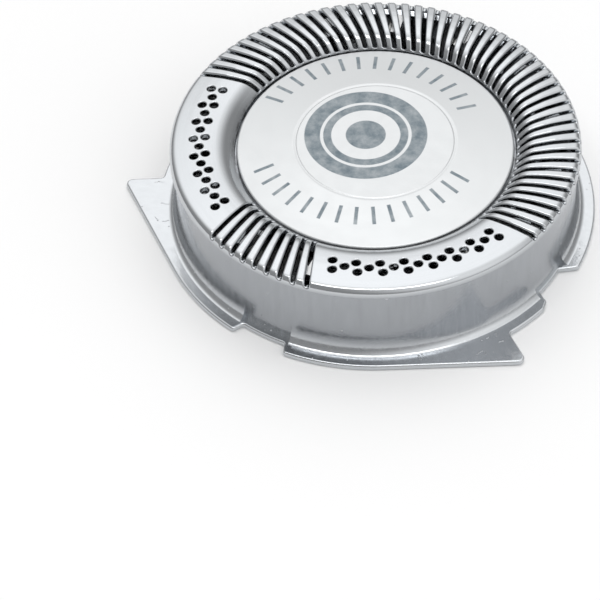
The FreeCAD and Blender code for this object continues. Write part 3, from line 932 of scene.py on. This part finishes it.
def floor_board(colour):
    """The floor, a pale board painted matt, just under the part."""
    material, tree = new_material("painted_board_matt")
    finish_surface(tree, {"Base Color": linear(colour), "Roughness": 0.9, "Specular IOR Level": 0.0})
    mesh = bpy.data.meshes.new("floor")
    mesh.from_pydata([(x * FLOOR_REACH, y * FLOOR_REACH, 0) for x, y in ((-1, -1), (1, -1), (1, 1), (-1, 1))],
                     [], [(0, 1, 2, 3)])
    mesh.materials.append(material)
    floor = bpy.data.objects.new("floor", mesh)
    bpy.context.scene.collection.objects.link(floor)
    floor.location.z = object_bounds()[0].z - FLOOR_GAP
    floor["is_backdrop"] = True


def studio_air():
    """The world: even grey air with wide soft lights in it that fade out all round."""
    world = bpy.data.worlds.new("studio_air")
    bpy.context.scene.world = world
    world.use_nodes = True
    tree = world.node_tree
    tree.nodes.clear()
    place = add_node(tree, "ShaderNodeTexCoord").outputs["Generated"]
    height = add_node(tree, "ShaderNodeSeparateXYZ", {0: place}).outputs["Z"]
    glow = add_node(tree, "ShaderNodeMapRange", {"Value": height, "To Min": AIR[0], "To Max": AIR[1]})
    for turn, tilt, peak in SOFT_LIGHTS:
        middle = pointing(math.radians(turn), math.radians(tilt))
        facing = add_node(tree, "ShaderNodeVectorMath", {0: place, 1: middle},
                          operation="DOT_PRODUCT").outputs["Value"]
        near = add_node(tree, "ShaderNodeMapRange", {
            "Value": facing, "From Min": SOFT_RIM[0], "From Max": SOFT_RIM[1]})
        lobe = add_node(tree, "ShaderNodeMath", {0: near, 1: 2.0}, operation="POWER")
        glow = add_node(tree, "ShaderNodeMath", {0: lobe, 1: peak, 2: glow}, operation="MULTIPLY_ADD")
    air = add_node(tree, "ShaderNodeBackground", {"Color": (1, 1, 1, 1), "Strength": glow})
    add_node(tree, "ShaderNodeOutputWorld", {"Surface": air})


def strip_lamp():
    """The strip lamp overhead, aimed at the part."""
    turn, height, distance, width, depth, level = TOP_STRIP
    place = pointing(math.radians(turn), math.radians(height))
    data = bpy.data.lights.new("top_strip", "AREA")
    data.shape = "RECTANGLE"
    data.size, data.size_y = width, depth
    data.energy = level * math.pi * width * depth
    lamp = bpy.data.objects.new("top_strip", data)
    lamp.location = place * distance
    lamp.rotation_mode = "QUATERNION"
    lamp.rotation_quaternion = (-place).to_track_quat("-Z", "Y")
    bpy.context.scene.collection.objects.link(lamp)


def photo_camera(sizes):
    """The camera at the photo's angle, moved sideways so that the axis falls at the same place in the frame."""
    towards = pointing(sizes.azimuth, sizes.elevation)
    right = Vector((math.cos(sizes.azimuth), math.sin(sizes.azimuth), 0))
    up = towards.cross(right)
    turn = sizes.roll
    right, up = right * math.cos(turn) - up * math.sin(turn), right * math.sin(turn) + up * math.cos(turn)
    pixel = sizes.distance * SENSOR / (sizes.focal * FRAME_SIDE)
    across = (AXIS_PIXEL[0] - FRAME_SIDE / 2) * pixel
    above = (FRAME_SIDE / 2 - AXIS_PIXEL[1]) * pixel
    place = Vector((0, 0, FLANGE_TOP * MM)) - right * across - up * above + towards * sizes.distance
    data = bpy.data.cameras.new("camera")
    data.lens = sizes.focal
    data.sensor_width = SENSOR
    data.clip_start = 0.005
    data.clip_end = 5
    camera = bpy.data.objects.new("camera", data)
    camera.matrix_world = Matrix.Translation(place) @ Matrix((right, up, towards)).transposed().to_4x4()
    bpy.context.scene.collection.objects.link(camera)
    bpy.context.scene.camera = camera


# Settings


class ShaverHeadColours(bpy.types.PropertyGroup):
    """Colours of the shaver head, as sRGB hex codes."""

    # The wall's colour is darker than the face's: painted shade for the dark surroundings the wall reflects
    drawn: bpy.props.StringProperty(name="Wall", description="Stainless steel as drawn", default="a8abaf")
    face: bpy.props.StringProperty(name="Face", description="Polished face and flange", default="c8cbce")
    disc: bpy.props.StringProperty(name="Disc", description="Satin anodised aluminium", default="dfe1e2")
    ink: bpy.props.StringProperty(name="Print", description="Rings and ticks on the disc", default="66757e")
    cutter: bpy.props.StringProperty(name="Cutter", description="Ground blade steel", default="d0d1d2")
    spring: bpy.props.StringProperty(name="Spring", description="Rolled spring strip", default="a9a9a7")
    pin: bpy.props.StringProperty(name="Pin", description="Turned steel pin", default="b5b5b3")
    hub: bpy.props.StringProperty(name="Hub", description="Moulded acetal", default="d9dbdc")
    floor: bpy.props.StringProperty(name="Floor", description="Pale studio floor", default="fdfdfd")


class ShaverHeadSizes(bpy.types.PropertyGroup):
    """Sizes and angles of the camera."""

    focal: bpy.props.FloatProperty(name="Focal Length", description="Lens in millimetres on a 36 mm sensor",
                                   default=188.16, min=10.0, unit="CAMERA")
    distance: bpy.props.FloatProperty(name="Distance", description="From the lens to the flange's top",
                                      default=0.1754, min=0.01, unit="LENGTH")
    azimuth: bpy.props.FloatProperty(name="Azimuth", description="Camera's plan angle from -Y towards +X",
                                     default=math.radians(34.8), subtype="ANGLE")
    elevation: bpy.props.FloatProperty(name="Elevation", description="Camera's angle above the horizon",
                                       default=math.radians(47.9), subtype="ANGLE")
    roll: bpy.props.FloatProperty(name="Roll", description="Camera's turn about its own axis",
                                  default=math.radians(2.66), subtype="ANGLE")


# Operators


class SHAVERHEAD_OT_guard(bpy.types.Operator):
    """Make the guard cap and its cover disc"""

    bl_idname = "shaverhead.guard"
    bl_label = "Guard and Disc"

    def execute(self, context):
        colours = context.scene.shaver_head_colours
        guard_mesh(guard_steel(colours.drawn, colours.face))
        disc_mesh(disc_aluminium(colours.disc, colours.ink))
        return {"FINISHED"}


class SHAVERHEAD_OT_cutter(bpy.types.Operator):
    """Give the cutter, its lifters, hub, pin and retaining ring their materials and smooth shading"""

    bl_idname = "shaverhead.cutter"
    bl_label = "Cutter and Hub"

    def execute(self, context):
        colours = context.scene.shaver_head_colours
        dress("cutter_ring", plain_steel("blade_steel_ground", colours.cutter, 0.25, 1.2, 0.05))
        strip = plain_steel("spring_steel_rolled", colours.spring, 0.3, 2.0, 0.08)
        dress("lifter_ring", strip)
        dress("retaining_ring", strip)
        dress("centre_pin", plain_steel("pin_steel_turned", colours.pin, 0.22, 5.0, 0.06))
        dress("drive_hub", acetal(colours.hub))
        return {"FINISHED"}


class SHAVERHEAD_OT_stage(bpy.types.Operator):
    """Make the floor, the lights, the world and the camera"""

    bl_idname = "shaverhead.stage"
    bl_label = "Stage"

    def execute(self, context):
        scene = context.scene
        floor_board(scene.shaver_head_colours.floor)
        studio_air()
        strip_lamp()
        photo_camera(scene.shaver_head_sizes)
        scene.view_settings.view_transform = "Standard"
        return {"FINISHED"}


class SHAVERHEAD_PT_panel(bpy.types.Panel):
    """Sizes, colours and steps of the shaver head"""

    bl_label = "Shaver Head"
    bl_space_type = "VIEW_3D"
    bl_region_type = "UI"
    bl_category = "Shaver Head"

    def draw(self, context):
        layout = self.layout
        for group in (context.scene.shaver_head_sizes, context.scene.shaver_head_colours):
            for name in group.__annotations__:
                layout.prop(group, name)
        for step in STEPS:
            layout.operator(step.bl_idname)


GROUPS = {"shaver_head_sizes": ShaverHeadSizes, "shaver_head_colours": ShaverHeadColours}
STEPS = (SHAVERHEAD_OT_guard, SHAVERHEAD_OT_cutter, SHAVERHEAD_OT_stage)
CLASSES = (*GROUPS.values(), *STEPS, SHAVERHEAD_PT_panel)


def register():
    """Registers the classes and the settings."""
    for made in CLASSES:
        bpy.utils.register_class(made)
    for name, group in GROUPS.items():
        setattr(bpy.types.Scene, name, bpy.props.PointerProperty(type=group))


def unregister():
    """Takes the settings and the classes away again."""
    for name in GROUPS:
        delattr(bpy.types.Scene, name)
    for made in reversed(CLASSES):
        bpy.utils.unregister_class(made)


def main():
    """Makes the whole scene."""
    register()
    bpy.ops.shaverhead.guard()
    bpy.ops.shaverhead.cutter()
    bpy.ops.shaverhead.stage()


if __name__ == "__main__":
    main()
